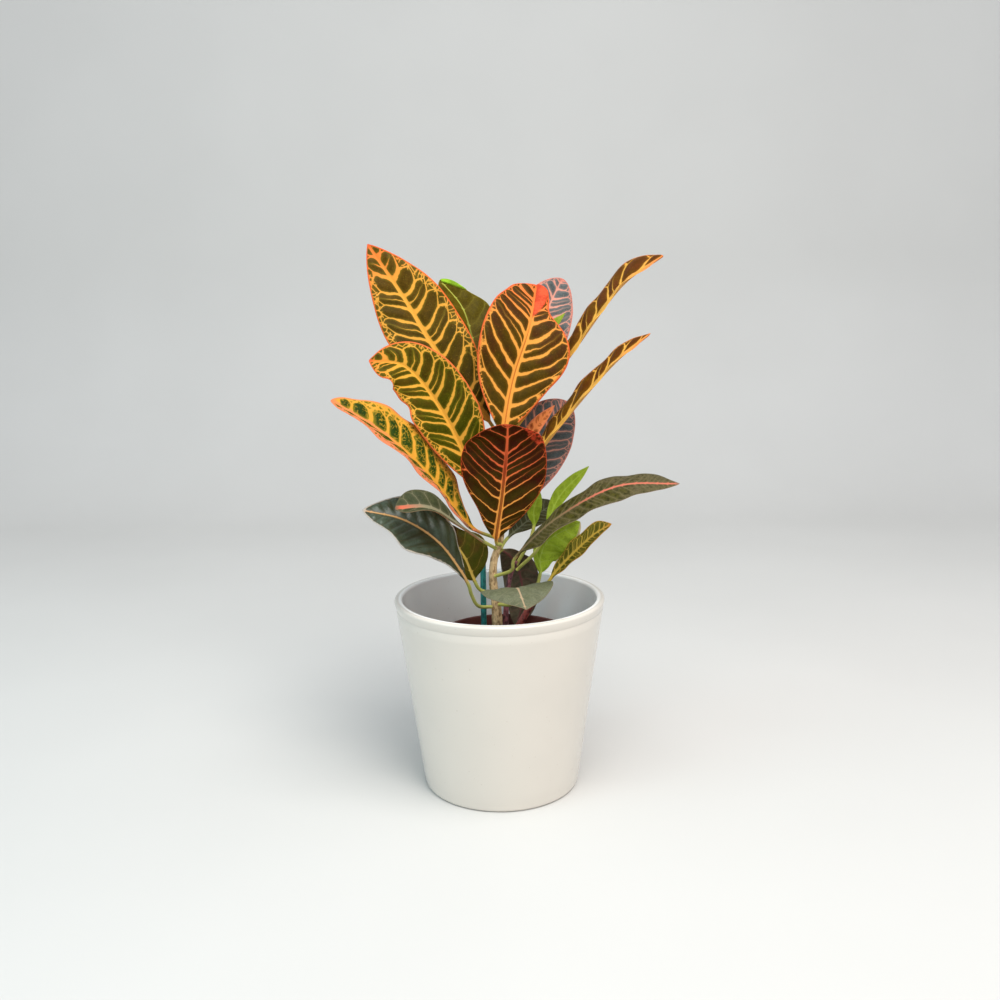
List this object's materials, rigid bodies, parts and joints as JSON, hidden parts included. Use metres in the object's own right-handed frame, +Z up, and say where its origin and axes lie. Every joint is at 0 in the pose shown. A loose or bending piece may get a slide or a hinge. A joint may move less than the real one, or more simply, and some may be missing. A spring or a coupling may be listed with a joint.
{
  "type": "potted croton",
  "caption": "Leafy croton plant with broad veined leaves, rooted in a plastic nursery pot that stands inside a plain white glazed cover pot.",
  "frame": {"origin": "centre of the cover pot's flat underside, on the surface that the pot stands on", "axes": "+Z up along the cover pot's axis; -Y towards the front, which is the side the broad maroon leaf faces; +X to the right seen from the front"},
  "size_m": [0.2623, 0.1734, 0.4394],
  "materials": {
    "glaze": "glossy white glaze",
    "nursery_plastic": "matt terracotta-brown plastic",
    "soil": "damp dark peat",
    "bark": "rough tan bark",
    "brown_stem": "reddish-brown stem",
    "red_stem": "dark red shoot",
    "stake_wood": "teal dyed split wood",
    "yellow_veined_leaf": "glossy leaf, yellow veins on dark green",
    "gold_veined_leaf": "glossy leaf, gold net on green",
    "pink_veined_leaf": "glossy grey-green leaf, pink veins",
    "olive_leaf": "glossy olive leaf, lime midrib",
    "blue_green_leaf": "glossy blue-green leaf, tan midrib",
    "grey_leaf": "glossy grey-green leaf, coral midrib",
    "maroon_leaf": "maroon underside, orange veins",
    "lime_leaf": "plain bright green leaf",
    "yellow_green_leaf": "yellow-green young leaf",
    "old_leaf": "dull dark burgundy old leaf"
  },
  "bodies": {
    "root": {"cover_pot": "glaze", "nursery_pot": "nursery_plastic", "soil": "soil", "main_stem": "bark", "second_stem": "brown_stem", "side_shoot": "red_stem", "stake": "stake_wood", "leaf_top_left": "yellow_veined_leaf", "leaf_mid_left": "yellow_veined_leaf", "leaf_centre": "yellow_veined_leaf", "leaf_top_right": "yellow_veined_leaf", "leaf_mid_right": "yellow_veined_leaf", "leaf_back_right": "pink_veined_leaf", "leaf_low_back_right": "pink_veined_leaf", "leaf_back_left": "olive_leaf", "leaf_long_left": "gold_veined_leaf", "leaf_low_left": "blue_green_leaf", "leaf_folded_left": "grey_leaf", "leaf_by_stake": "olive_leaf", "leaf_front": "maroon_leaf", "leaf_long_right": "grey_leaf", "leaf_low_front": "blue_green_leaf", "leaf_drooping": "old_leaf", "leaf_behind_front": "blue_green_leaf", "leaf_sliver_right": "yellow_green_leaf", "leaf_young_top": "lime_leaf", "leaf_lime_long": "lime_leaf", "leaf_lime_short": "lime_leaf", "leaf_lime_broad": "lime_leaf", "leaf_low_right": "yellow_green_leaf"}
  },
  "joints": []
}
